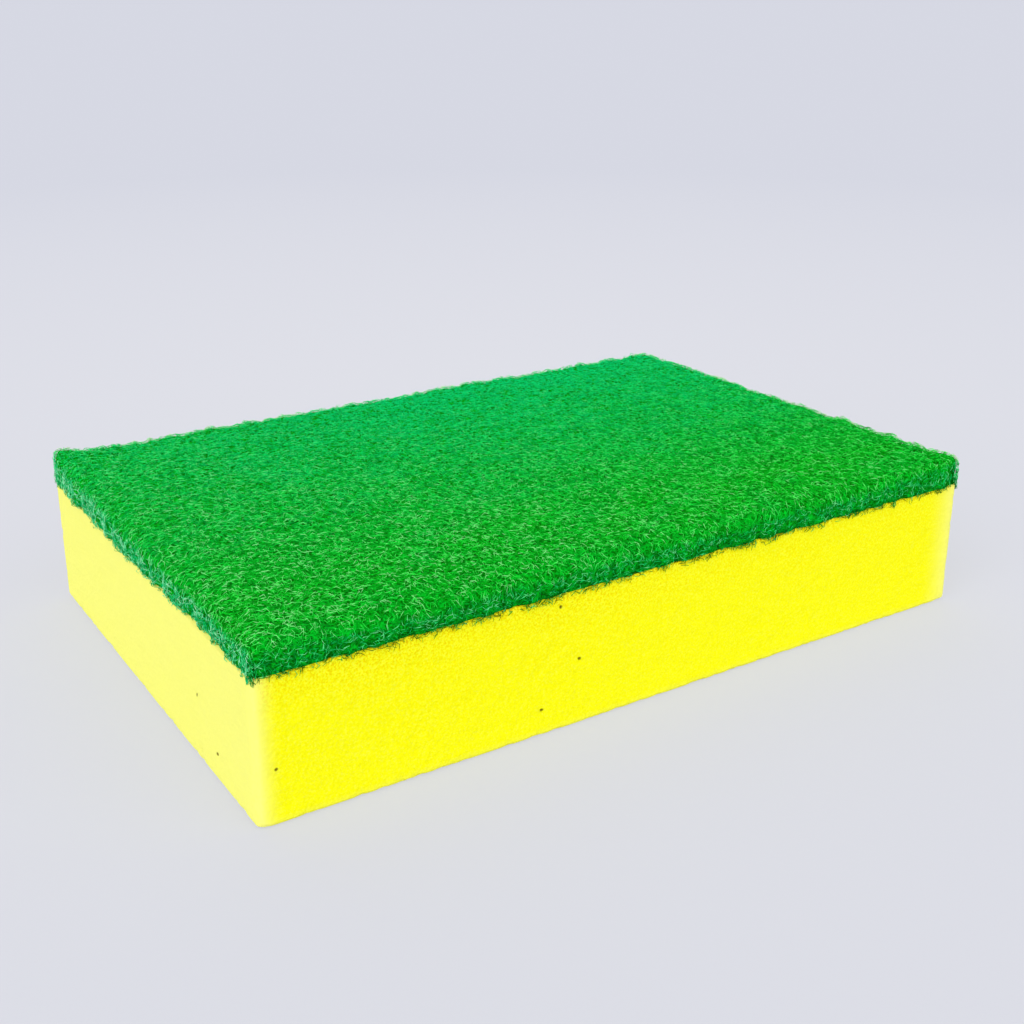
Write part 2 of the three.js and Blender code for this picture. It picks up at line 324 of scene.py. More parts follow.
# %% Rounded outline
class Outline:
    """A rounded rectangle in equal steps. Each point is an inner point and a normal."""

    def __init__(self, half_x, half_y, radius, step):
        self.radius = radius
        inner_x = half_x - radius
        inner_y = half_y - radius
        self.long = 2 * round(inner_x / step)
        self.short = 2 * round(inner_y / step)
        self.arc = 2 * max(1, round(radius * math.pi / 4 / step))
        corners = [(-inner_x, -inner_y), (inner_x, -inner_y), (inner_x, inner_y), (-inner_x, inner_y)]
        inner = []
        angles = []
        for side, corner in enumerate(corners):
            ahead = corners[(side + 1) % 4]
            count = self.long if side % 2 == 0 else self.short
            facing = (side - 1) * math.pi / 2
            for i in range(count):
                share = i / count
                inner.append([a + (b - a) * share for a, b in zip(corner, ahead)])
                angles.append(facing)
            for i in range(self.arc):
                inner.append(ahead)
                angles.append(facing + math.pi / 2 * i / self.arc)
        self.inner = np.array(inner)
        self.normals = np.stack([np.cos(angles), np.sin(angles)], axis=1)

    def ring(self, inset, height, every=1):
        reach = self.radius - inset
        flat = (self.inner + self.normals * reach)[::every]
        return np.column_stack([flat, np.full(len(flat), height)])


print("points in a small outline", len(Outline(4.0, 3.0, 1.0, 0.5).inner))

# %% Slab from rings
def ring_quads(first, second, count):
    """Faces between two rings of equal count, the second outside or below the first."""
    here = np.arange(count)
    ahead = (here + 1) % count
    return np.column_stack([first + here, second + here, second + ahead, first + ahead]).tolist()


def slab(outline, rings, flat_height):
    """A closed slab from (inset, height) rings. The first ring closes with one flat face,
    and the last meets a grid at flat_height, at half as many points."""
    count = len(outline.inner)
    points = [outline.ring(inset, height) for inset, height in rings]
    faces = []
    for i in range(len(rings) - 1):
        faces += ring_quads(i * count, (i + 1) * count, count)
    faces.append(list(range(count)))
    last = (len(rings) - 1) * count
    half_start = last + count
    half_count = count // 2
    inset = rings[-1][0]
    points.append(outline.ring(inset + (outline.radius - inset) / 2, flat_height, every=2))
    for i in range(half_count):
        ahead = half_start + (i + 1) % half_count
        outer = [last + 2 * i, last + 2 * i + 1, last + (2 * i + 2) % count]
        faces.append([outer[0], half_start + i, outer[1]])
        faces.append([outer[1], half_start + i, ahead])
        faces.append([outer[1], ahead, outer[2]])
    grid_start = half_start + half_count
    columns = outline.long // 2
    rows = outline.short // 2
    extent = outline.inner.max(axis=0)
    x = np.linspace(-extent[0], extent[0], columns + 1)
    y = np.linspace(-extent[1], extent[1], rows + 1)
    grid_x, grid_y = np.meshgrid(x, y)
    flat = np.column_stack([grid_x.ravel(), grid_y.ravel(), np.full(grid_x.size, flat_height)])
    points.append(flat)

    def at(row, column):
        return grid_start + row * (columns + 1) + column

    for row in range(rows):
        for column in range(columns):
            faces.append([
                at(row, column),
                at(row + 1, column),
                at(row + 1, column + 1),
                at(row, column + 1),
            ])
    border = [at(0, column) for column in range(columns)]
    border += [at(0, columns)] * (outline.arc // 2)
    border += [at(row, columns) for row in range(rows)]
    border += [at(rows, columns)] * (outline.arc // 2)
    border += [at(rows, columns - column) for column in range(columns)]
    border += [at(rows, 0)] * (outline.arc // 2)
    border += [at(rows - row, 0) for row in range(rows)]
    border += [at(0, 0)] * (outline.arc // 2)
    for i in range(half_count):
        j = (i + 1) % half_count
        loop = [half_start + i, border[i], border[j], half_start + j]
        faces.append(loop[:2] + loop[3:] if border[i] == border[j] else loop)
    return np.concatenate(points), faces


trial_rings = [(0, 0.0), (0, 1.0)]
trial_points, trial_faces = slab(Outline(4.0, 3.0, 1.0, 0.5), trial_rings, 1.0)
print("points and faces of a small slab", len(trial_points), len(trial_faces))

# %% Objects from points
def mesh_object(name, points, faces, smooth=True):
    """A new object at the origin with its place in its mesh."""
    mesh = bpy.data.meshes.new(name)
    mesh.from_pydata(points.tolist(), [], faces)
    mesh.update()
    if smooth:
        mesh.shade_smooth()
    piece = bpy.data.objects.new(name, mesh)
    scene.collection.objects.link(piece)
    return piece


def triangles(piece):
    """How many triangles a piece has when its faces are split."""
    return sum(len(face.vertices) - 2 for face in piece.data.polygons)


# %% [markdown]
# ## Foam block
#
# Foam rises in a mould or on a belt and is then sliced, so every face is a cut through
# cells. Cells of half a millimetre are too fine for a mesh and go into the material's
# bump. The mesh holds what shows in outline: soft corners, a slight unevenness of the cut
# and a few thousand larger cells as pits. A few large dark cells are placed one by one.

# %% Foam sizes
FOAM_STEP = 0.75 * MM
FOAM_CORNER_RADIUS = 1.5 * MM
FOAM_BASE_ROUND = 1.1 * MM
FOAM_UNEVENNESS = 0.12 * MM
FOAM_UNEVENNESS_LENGTH = 14 * MM
PIT_COUNT = 2400
PIT_RADIUS = (0.6 * MM, 1.1 * MM)
PIT_DEPTH = 0.16 * MM
SPECK_RADIUS = 0.62 * MM
SPECK_DEPTH = 0.4 * MM
SPECK_DARK_MM = (0.18, 0.4)
LONG_SIDE_SPECKS_MM = [(3.4, 9.6), (54, 22.7), (57.9, 12.3), (50.4, 4.9)]
SHORT_SIDE_SPECKS_MM = [(23.6, 12), (15.9, 5.2), (23.1, 2.7)]

foam_half_x = (foam_high.x - foam_low.x) / 2
foam_half_y = (foam_high.y - foam_low.y) / 2
foam_top = foam_high.z
near_corner = Vector((foam_low.x, foam_low.y, 0))
specks = [near_corner + Vector((along, 0, up)) * MM for along, up in LONG_SIDE_SPECKS_MM]
specks += [near_corner + Vector((0, along, up)) * MM for along, up in SHORT_SIDE_SPECKS_MM]
print("dark cells", len(specks))

# %% Foam mesh
side_rows = round((foam_top - FOAM_BASE_ROUND) / FOAM_STEP)
foam_rings = [
    (0, foam_top + (FOAM_BASE_ROUND - foam_top) * row / side_rows) for row in range(side_rows + 1)
]
round_rows = 5
for row in range(1, round_rows + 1):
    turn = math.pi / 2 * row / round_rows
    inset = FOAM_BASE_ROUND * (1 - math.cos(turn))
    foam_rings.append((inset, FOAM_BASE_ROUND * (1 - math.sin(turn))))
foam_outline = Outline(foam_half_x, foam_half_y, FOAM_CORNER_RADIUS, FOAM_STEP)
foam_points, foam_faces = slab(foam_outline, foam_rings, 0.0)
foam = mesh_object("foam", foam_points, foam_faces)
print("foam triangles", triangles(foam))

# %% Foam cells
foam_random = np.random.default_rng(7)
foam_vertices = foam.data.vertices
pit_homes = foam_random.choice(len(foam_vertices), PIT_COUNT, replace=False)
pit_sizes = foam_random.uniform(*PIT_RADIUS, PIT_COUNT)
pit_tree = kdtree.KDTree(PIT_COUNT)
for number, home in enumerate(pit_homes):
    jitter = Vector(foam_random.uniform(-0.3, 0.3, 3)) * MM
    pit_tree.insert(foam_vertices[int(home)].co + jitter, number)
pit_tree.balance()


def dent(distance, radius):
    """Depth of a pit, from 1 in its middle to 0 at its rim."""
    return max(0.0, 1 - (distance / radius) ** 2)


foam_moved = []
for vertex in foam_vertices:
    place = vertex.co
    bonded = place.z > foam_top - 0.1 * MM
    inward = FOAM_UNEVENNESS * (1 + noise.noise(place / FOAM_UNEVENNESS_LENGTH)) / 2
    if not bonded:
        _, number, distance = pit_tree.find(place)
        inward += PIT_DEPTH * dent(distance, pit_sizes[number])
        inward += SPECK_DEPTH * max(dent((place - speck).length, SPECK_RADIUS) for speck in specks)
    moved = place - vertex.normal * inward
    if bonded:
        moved.z = foam_top
    foam_moved.append(moved)
for vertex, moved in zip(foam_vertices, foam_moved):
    vertex.co = moved
foam.data.update()
print("pits", PIT_COUNT)

# %% [markdown]
# ## Foam finish
#
# Polyurethane foam is dull, and light sinks into it a little, so it has full roughness
# and some subsurface scatter. Its colour is strong on the long sides, and paler on the
# short ends, along the corners and along the bottom edge: painted light, for the light
# that comes through the outermost cells there. Fine cells are a Voronoi pattern: its edges
# are the struts, and its middles the hollows. Darker grain spots are painted shade in the
# hollows, stronger under the web, where painted shade also turns the grain amber, and at
# its very foot olive, since less light gets there.

# %% Foam pattern
FOAM_YELLOW = srgb(252, 250, 6)
# Deeper yellow of the cells' hollows: painted shade.
FOAM_HOLLOW_SHADE = srgb(246, 222, 0)
FOAM_SPECK = srgb(120, 112, 10)
# Olive for the very foot of the foam under the web: painted shade.
FOAM_FOOT_SHADE = srgb(196, 168, 0)
# Amber for the grain just under the web: painted shade.
FOAM_SHADE_AMBER = srgb(234, 192, 0)
FOAM_LIGHT = srgb(253, 252, 76)
# Pale yellow for the short ends and edges: painted light.
FOAM_PAINTED_LIGHT = srgb(253, 252, 126)
CELL_SCALE = 1450
GRAIN_SCALE = 2900
PATCH_SCALE = 90
LEFT_PALE_WIDTH = 4.5 * MM
RIGHT_PALE_WIDTH = 8.5 * MM
PALE_INSET = 0.8 * MM
FOOT_SHADE_DEPTH = 1.1 * MM
SHADE_AMBER_DEPTH = 9 * MM

foam_finish = Finish("foam")
place = foam_finish.add("ShaderNodeTexCoord", None, output="Object")
cell_depth = foam_finish.add(
    "ShaderNodeTexVoronoi",
    {"feature": "SMOOTH_F1"},
    output="Distance",
    Vector=place,
    Scale=CELL_SCALE,
    Smoothness=0.3,
)
grain = foam_finish.add(
    "ShaderNodeTexNoise", None, output="Fac", Vector=place, Scale=GRAIN_SCALE, Detail=2.0
)
patches = foam_finish.add(
    "ShaderNodeTexNoise", None, output="Fac", Vector=place, Scale=PATCH_SCALE, Detail=3.0
)
x_axis = foam_finish.add("ShaderNodeSeparateXYZ", None, place, output="X")
height = Wire(foam_finish, x_axis.socket.node.outputs["Z"])
left_fade = (PALE_INSET - foam_half_x, LEFT_PALE_WIDTH - foam_half_x)
right_fade = (foam_half_x - RIGHT_PALE_WIDTH, foam_half_x - PALE_INSET)
near_left = 1 - foam_finish.limit(x_axis, *left_fade)
near_right = foam_finish.limit(x_axis, *right_fade)
near_end = near_left + near_right
low_edge = 1 - foam_finish.limit(height, 0.2 * MM, 1.8 * MM)
# Paler short ends, corners and bottom edge: painted light, where light falls strongest and comes
# through the edges.
painted_paleness = foam_finish.limit(near_end * near_end + low_edge * 0.3)
near_web = foam_finish.limit(height, 4 * MM, foam_top)
# Darker spots in the grain for the cells' hollows: painted shade over the foam's grain, stronger near
# the web where the web shades it.
shaded_hollow = foam_finish.limit(grain, 0.5, 0.76) * (near_web * 0.75 + 0.25)
shaded_hollow = shaded_hollow * foam_finish.limit(patches, 0.25, 0.6) * (1 - painted_paleness * 0.85)
thin = foam_finish.limit(1 - grain, 0.5, 0.72) * 0.65
print("widths of the pale ends, mm", LEFT_PALE_WIDTH / MM, RIGHT_PALE_WIDTH / MM)

# %% Foam colour
foam_colour = foam_finish.mix(thin, FOAM_YELLOW, FOAM_LIGHT)
# Painted shade in the hollows.
foam_colour = foam_finish.mix(shaded_hollow * 0.7, foam_colour, FOAM_HOLLOW_SHADE)
# A strip just under the web, weaker to the right, where the grain turns amber: painted shade from the
# web.
under_web_shade = foam_finish.limit(height, foam_top - SHADE_AMBER_DEPTH, foam_top - 0.5 * MM)
under_web_shade = under_web_shade * (1 - foam_finish.limit(x_axis, -20 * MM, 45 * MM) * 0.6)
amber = foam_finish.limit(grain, 0.5, 0.64) * under_web_shade * under_web_shade * 0.6
foam_colour = foam_finish.mix(amber, foam_colour, FOAM_SHADE_AMBER)
# Mixes in the painted light on the ends and edges.
foam_colour = foam_finish.mix(painted_paleness, foam_colour, FOAM_PAINTED_LIGHT)
# Olive patches at the very top of the foam's sides, under the web: painted shade, weaker on the ends.
foot = foam_finish.limit(height, foam_top - FOOT_SHADE_DEPTH, foam_top)
foot = foot * foam_finish.limit(grain, 0.4, 0.6) * (0.7 - near_end * 0.6)
foam_colour = foam_finish.mix(foot, foam_colour, FOAM_FOOT_SHADE)
long_count = len(LONG_SIDE_SPECKS_MM)
for number, speck in enumerate(specks):
    flatten = (1.0, 0.2, 1.0) if number < long_count else (0.2, 1.0, 1.0)
    offset = (place - tuple(speck)) * flatten
    away = foam_finish.add("ShaderNodeVectorMath", {"operation": "LENGTH"}, offset, output="Value")
    dark = 1 - foam_finish.limit(away, SPECK_DARK_MM[0] * MM, SPECK_DARK_MM[1] * MM)
    foam_colour = foam_finish.mix(dark, foam_colour, FOAM_SPECK)
print("nodes in the foam's colour", len(foam_finish.nodes))

# %% Foam shader
bump = foam_finish.add(
    "ShaderNodeBump", None, output="Normal", Strength=0.35, Distance=0.25 * MM, Height=cell_depth
)
foam_shader = foam_finish.add(
    "ShaderNodeBsdfPrincipled",
    None,
    Base_Color=foam_colour,
    Roughness=0.95,
    Normal=bump,
    Subsurface_Weight=0.1,
    Subsurface_Radius=(1.0, 0.9, 0.3),
    Subsurface_Scale=0.8 * MM,
    Specular_IOR_Level=0.1,
)
foam.data.materials.append(foam_finish.end(foam_shader))
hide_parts("foam_block")
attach(foam, "root")
print("foam material", foam.data.materials[0].name)

# %% [markdown]
# ## Core of the web
#
# Under the outermost fibres the mat is dense, and its darker green is painted shade for its
# depth. A core slab just below the surface stands for that depth, so that no gap between
# fibres looks through to nothing. It rises and falls with the web and has the same ragged
# cut edge, and its own bump shows fibres that are too fine or too deep to model one by one.

# %% Web sizes
WEB_STEP = 0.8 * MM
WEB_ROLL = 1.7 * MM
WEB_CORNER_RADIUS = 1.8 * MM
WEB_OVERHANG = 0.35 * MM
WEB_LEFT_SETBACK = 0.8 * MM
WEB_SETBACK_MIDDLE = -32 * MM
WEB_SETBACK_REACH = 17 * MM
CORE_DEPTH = 0.45 * MM
WEB_HEIGHT = 5.6 * MM
foam_half = np.array([foam_half_x, foam_half_y])
WEB_HALF = foam_half + WEB_OVERHANG
WEB_TOP = foam_top + WEB_HEIGHT
RISE = 0.5 * MM
RIM_RISE = 1.0 * MM
RIM_WIDTH = 5 * MM
DROOP = 1.3 * MM
DROOP_WIDTH = 7 * MM
DROOP_FADE = 35 * MM
CORNER_LIFT = 0.9 * MM
CORNER_LIFT_REACH = 6 * MM
RAGGEDNESS = 1.0 * MM
EDGE_LENGTHS_MM = (23, 15, 9.7, 7.3, 6.1, 5.2, 4.3, 3.7, 3.1, 2.6, 2.2)


def waves(places, lengths_mm, seed):
    """Smooth noise from -1 to 1: a sum of plane waves in scattered directions."""
    random = np.random.default_rng(seed)
    total = np.zeros(places.shape[:-1])
    for length in lengths_mm:
        angle = random.uniform(0, 2 * math.pi)
        heading = np.array([math.cos(angle), math.sin(angle)])
        phase = random.uniform(0, 2 * math.pi)
        total += np.sin(places @ heading * (2 * math.pi / (length * MM)) + phase)
    return total / len(lengths_mm)


def web_rise(plan):
    """How far the web's top lies above or below its mean height, more so at the rim."""
    depth = (WEB_HALF - np.abs(plan)).min(axis=-1)
    rim = np.clip(1 - depth / RIM_WIDTH, 0, 1)
    top = RISE * waves(plan, (41, 33, 27, 19, 11, 7.5), 3)
    top += RIM_RISE * rim * waves(plan, (13, 8.3, 6.7, 5.1, 4.1, 3.3, 2.6), 9)
    front = np.clip(1 - (plan[..., 1] + WEB_HALF[1]) / DROOP_WIDTH, 0, 1) ** 2
    left = np.clip(1 - (plan[..., 0] + WEB_HALF[0]) / DROOP_WIDTH, 0, 1) ** 2
    front *= np.clip((WEB_HALF[0] - plan[..., 0]) / DROOP_FADE, 0, 1)
    left *= np.clip((WEB_HALF[1] - plan[..., 1]) / DROOP_FADE, 0, 1)
    top -= DROOP * np.maximum(front, left)
    for corner in (WEB_HALF * (1, -1), WEB_HALF * (-1, 1)):
        near = np.linalg.norm(plan - corner, axis=-1) / CORNER_LIFT_REACH
        top += CORNER_LIFT * np.exp(-near ** 2)
    return top


def web_ragged(plan):
    """How far the cut edge stands out or back. Part of the left end is set back."""
    left = np.clip((-plan[..., 0] - WEB_HALF[0]) / WEB_ROLL + 2, 0, 1)
    offset = (plan[..., 1] - WEB_SETBACK_MIDDLE) / WEB_SETBACK_REACH
    set_back = WEB_LEFT_SETBACK * left * np.exp(-offset ** 2)
    return RAGGEDNESS * waves(plan, EDGE_LENGTHS_MM, 5) - set_back


print("web top, mm", round(WEB_TOP / MM, 2))

# %% Core mesh
core_half = WEB_HALF - CORE_DEPTH
core_top = WEB_TOP - CORE_DEPTH
core_bottom = foam_top + 0.02 * MM
core_roll = WEB_ROLL - CORE_DEPTH
core_rows = 6
core_rings = [
    (0, core_bottom + (core_top - core_roll - core_bottom) * row / core_rows)
    for row in range(core_rows + 1)
]
roll_rows = 4
for row in range(1, roll_rows + 1):
    turn = math.pi / 2 * row / roll_rows
    inset = core_roll * (1 - math.cos(turn))
    core_rings.append((inset, core_top - core_roll * (1 - math.sin(turn))))
core_outline = Outline(*core_half, WEB_CORNER_RADIUS - CORE_DEPTH, WEB_STEP)
core_points, core_faces = slab(core_outline, core_rings, core_top)
core_faces = [face[::-1] for face in core_faces]

share_up = np.clip((core_points[:, 2] - core_bottom) / (core_top - core_bottom), 0, 1)
core_plan = core_points[:, :2].copy()
core_points[:, 2] += web_rise(core_plan) * share_up
outward = core_plan - np.clip(core_plan, -core_half + WEB_ROLL, core_half - WEB_ROLL)
outward /= np.maximum(np.linalg.norm(outward, axis=1), WEB_ROLL)[:, None]
core_points[:, :2] += outward * web_ragged(core_plan)[:, None]
web_core = mesh_object("web_core", core_points, core_faces)
print("core triangles", triangles(web_core))

# %% [markdown]
# ## Fibres
#
# The fibres decide how the web looks. Each real one is a crimped thread some centimetres
# long that winds through the mat, so only short stretches of it show before it dips under
# its neighbours. Short fibres laid at random therefore look the same, and cost far less. A
# hair system would draw them, but it leaves no mesh behind. So each one is a thin
# three-sided tube, and all of them are worked out together as arrays.
#
# They are laid on a flat sheet first, larger than the web, and the rim of that sheet is
# then wrapped over the rolled edge and down the cut side. Fibres that would hang too far
# over the foam are moved back up.

# %% Fibre sizes
FIBRE_STATIONS = 3
FIBRE_SIDES = 3
FIBRE_LENGTH = 1.5 * MM
FIBRE_RADIUS = (0.047 * MM, 0.076 * MM)
FIBRES_IN_LAYER = 12700
LAYER_NAMES = ["fibres_1", "fibres_2", "fibres_3", "fibres_4", "fibres_5"]
LAYER_LIFTS = [-0.36 * MM, -0.28 * MM, -0.2 * MM, -0.12 * MM, -0.04 * MM]
CRIMP_LENGTH = (1.3 * MM, 2.8 * MM)
CRIMP_TURN = 1.0
ARCH = 0.2 * MM
LOOP_SHARE = 0.03
LOOP_ARCH = 0.42 * MM
SIDE_HANG = 0.1 * MM
FRONT_HANG = 1.4 * MM
FOOT_SPARE = 0.7 * MM
CORNER_HANG = 0.7 * MM
FRINGE = 0.22 * MM


def wrap(sheet, lift):
    """Lays places of the flat sheet over the web: its middle on top, its rim down the
    sides. The lift is along the surface's normal. Returns places and normals."""
    flat_half = WEB_HALF - WEB_ROLL
    inner = np.clip(sheet, -flat_half, flat_half)
    out = sheet - inner
    distance = np.linalg.norm(out, axis=-1)
    heading = out / np.maximum(distance, 1e-9)[..., None]
    angle = np.clip(distance / WEB_ROLL, 0, math.pi / 2)
    drop = np.clip(distance - WEB_ROLL * math.pi / 2, 0, None)
    plan = inner + heading * (WEB_ROLL * np.sin(angle))[..., None]
    sideways = np.sin(angle)
    normals = np.concatenate([heading * sideways[..., None], np.cos(angle)[..., None]], axis=-1)
    share_up = np.clip(1 - drop / (WEB_HEIGHT - WEB_ROLL), 0, 1)
    height = WEB_TOP - WEB_ROLL * (1 - np.cos(angle)) - drop + web_rise(plan) * share_up
    plan = plan + heading * (sideways * web_ragged(plan))[..., None]
    places = np.concatenate([plan, height[..., None]], axis=-1)
    return places + normals * lift[..., None], normals


print("fibres", FIBRES_IN_LAYER * len(LAYER_NAMES))

# %% Fibre paths
WANDER = 0.16
LIFT_SPREAD = 0.06 * MM
SHEET_RIM = WEB_ROLL * (math.pi / 2 - 1) + WEB_HEIGHT - WEB_ROLL + FOOT_SPARE


def fibre_paths(count, layer_lift, random):
    """Crimped paths on the flat sheet, and each station's lift off the web."""
    half = WEB_HALF + SHEET_RIM
    start = random.uniform(-1, 1, (count, 2)) * half
    heading = random.uniform(0, 2 * math.pi, (count, 1))
    step = FIBRE_LENGTH / (FIBRE_STATIONS - 1)
    along = np.arange(FIBRE_STATIONS) * step
    crimp = random.uniform(*CRIMP_LENGTH, (count, 1))
    phase = random.uniform(0, 2 * math.pi, (count, 1))
    strength = CRIMP_TURN * random.uniform(0.5, 1.3, (count, 1))
    turn = strength * np.sin(2 * math.pi * along / crimp + phase)
    turn += np.cumsum(random.normal(0, WANDER, (count, FIBRE_STATIONS)), axis=1)
    direction = heading + turn
    steps = np.stack([np.cos(direction), np.sin(direction)], axis=-1) * step
    sheet = start[:, None, :] + np.cumsum(steps, axis=1) - steps.sum(axis=1)[:, None, :] / 2
    peak = random.uniform(-0.5, 0.5, (count, 1))
    arch = 1 - (np.linspace(-1, 1, FIBRE_STATIONS) - peak) ** 2
    looped = random.uniform(0, 1, (count, 1)) < LOOP_SHARE
    height = np.where(looped, LOOP_ARCH, ARCH) * random.uniform(0.4, 1.2, (count, 1))
    lift = layer_lift + height * arch + random.normal(0, LIFT_SPREAD, (count, 1))
    return sheet, lift


print("rim of the sheet, mm", round(SHEET_RIM / MM, 2))

# %% Foot of the cut edge
def foot_hang(plan):
    """How far the lowest fibres hang over the foam: furthest at the front and its corner."""
    to_corner = np.linalg.norm(plan + foam_half, axis=-1)
    wavy = 0.3 * MM * waves(plan, (17, 9.1, 5.7, 3.7), 11)
    far_left = np.clip(np.linalg.norm(plan - foam_half * (-1, 1), axis=-1) / (25 * MM), 0, 1)
    front = np.clip(-(plan[..., 1] + foam_half_y - 2 * MM) / (2 * MM), 0, 1)
    hang = (SIDE_HANG + (FRONT_HANG - SIDE_HANG) * front + wavy) * far_left
    return hang + CORNER_HANG * np.exp(-(to_corner / (5 * MM)) ** 2)


def pull_up(sheet, random):
    """Moves a fibre that would hang over the foam back up the cut edge. A few still hang
    down by up to FRINGE."""
    flat_half = WEB_HALF - WEB_ROLL
    out = sheet - np.clip(sheet, -flat_half, flat_half)
    distance = np.linalg.norm(out, axis=-1)
    lowest = distance.argmax(axis=1)
    number = np.arange(len(sheet))
    deepest = distance[number, lowest]
    heading = out[number, lowest] / np.maximum(deepest, 1e-9)[:, None]
    plan = np.clip(sheet[number, lowest], -flat_half, flat_half) + heading * WEB_ROLL
    foot = WEB_ROLL * (math.pi / 2 - 1) + WEB_HEIGHT + foot_hang(plan)
    foot = foot + FRINGE * random.uniform(-1.5, 1, len(sheet))
    excess = np.clip(deepest - foot, 0, None)
    return sheet - (heading * excess[:, None])[:, None, :]


def keep_on_web(sheet):
    """Whether each fibre's middle lies on the web, not past a rounded corner of the sheet."""
    middle = sheet[:, FIBRE_STATIONS // 2]
    flat_half = WEB_HALF - WEB_ROLL
    out = np.linalg.norm(middle - np.clip(middle, -flat_half, flat_half), axis=-1)
    return out < WEB_ROLL + SHEET_RIM


print("hang at the near corner, mm", round(float(foot_hang(-foam_half)) / MM, 2))

# %% Fibre tubes
UV_GAP = 0.06


def tube_faces():
    """Faces of one fibre: quads along it and a triangle at each end."""
    faces = []
    for station in range(FIBRE_STATIONS - 1):
        for side in range(FIBRE_SIDES):
            ahead = (side + 1) % FIBRE_SIDES
            low = station * FIBRE_SIDES
            high = low + FIBRE_SIDES
            faces.append([low + side, low + ahead, high + ahead, high + side])
    faces.append(list(range(FIBRE_SIDES))[::-1])
    last = (FIBRE_STATIONS - 1) * FIBRE_SIDES
    faces.append([last + side for side in range(FIBRE_SIDES)])
    return faces


def tube_points(paths, normals, radii):
    """The points of every fibre's tube, shape (fibres, stations, sides, 3)."""
    ahead = np.gradient(paths, axis=1)
    ahead /= np.linalg.norm(ahead, axis=-1, keepdims=True)
    across = np.cross(normals, ahead)
    across /= np.linalg.norm(across, axis=-1, keepdims=True)
    above = np.cross(ahead, across)
    turns = math.pi / 2 + np.arange(FIBRE_SIDES) * 2 * math.pi / FIBRE_SIDES
    rim = across[:, :, None] * np.cos(turns)[:, None] + above[:, :, None] * np.sin(turns)[:, None]
    return paths[:, :, None] + rim * radii[:, :, None, None]


def tube_map(count):
    """A UV map in which each fibre has a cell of its own, unrolled along the cell."""
    cells = math.ceil(math.sqrt(count))
    u = []
    for station in range(FIBRE_STATIONS - 1):
        for side in range(FIBRE_SIDES):
            left, right = station / (FIBRE_STATIONS - 1), (station + 1) / (FIBRE_STATIONS - 1)
            low, high = 0.8 * side / FIBRE_SIDES, 0.8 * (side + 1) / FIBRE_SIDES
            u += [(left, low), (left, high), (right, high), (right, low)]
    u += [(0.0, 0.86), (0.1, 1.0), (0.2, 0.86)]
    u += [(0.8, 0.86), (0.9, 1.0), (1.0, 0.86)]
    one = UV_GAP / 2 + np.array(u) * (1 - UV_GAP)
    number = np.arange(count)
    corner = np.stack([number % cells, number // cells], axis=-1)
    return ((corner[:, None, :] + one[None, :, :]) / cells).reshape(-1, 2)


print("triangles in a fibre", 2 * FIBRE_SIDES * (FIBRE_STATIONS - 1) + 2)

# %% Fibre objects
HEIGHT_RANGE = 0.6 * MM
OWN_SHARE = 0.76
LIT_HEIGHT_SHARE = 0.38
FOOT_SHADE_HEIGHT = 1.5 * MM
FOOT_SHADE_STRENGTH = 0.35
SHADE_SPREAD = 0.12
SPARE_FACTOR = 2
fibre_random = np.random.default_rng(23)
one_tube = tube_faces()
fibre_pieces = []


def fibre_object(name, points, marks):
    """One mesh of many fibres. Each mark is a number for each station of each fibre."""
    count = len(points)
    per_fibre = FIBRE_STATIONS * FIBRE_SIDES
    faces = []
    for start in range(0, count * per_fibre, per_fibre):
        faces += [[start + corner for corner in face] for face in one_tube]
    piece = mesh_object(name, points.reshape(-1, 3), faces)
    for label, values in marks.items():
        layer = piece.data.attributes.new(label, "FLOAT", "POINT")
        spread = np.repeat(values.ravel(), FIBRE_SIDES).astype(np.float32)
        layer.data.foreach_set("value", spread)
    uv = piece.data.uv_layers.new(name="OFBake")
    uv.data.foreach_set("uv", tube_map(count).astype(np.float32).ravel())
    return piece


print("faces in a fibre", len(one_tube))

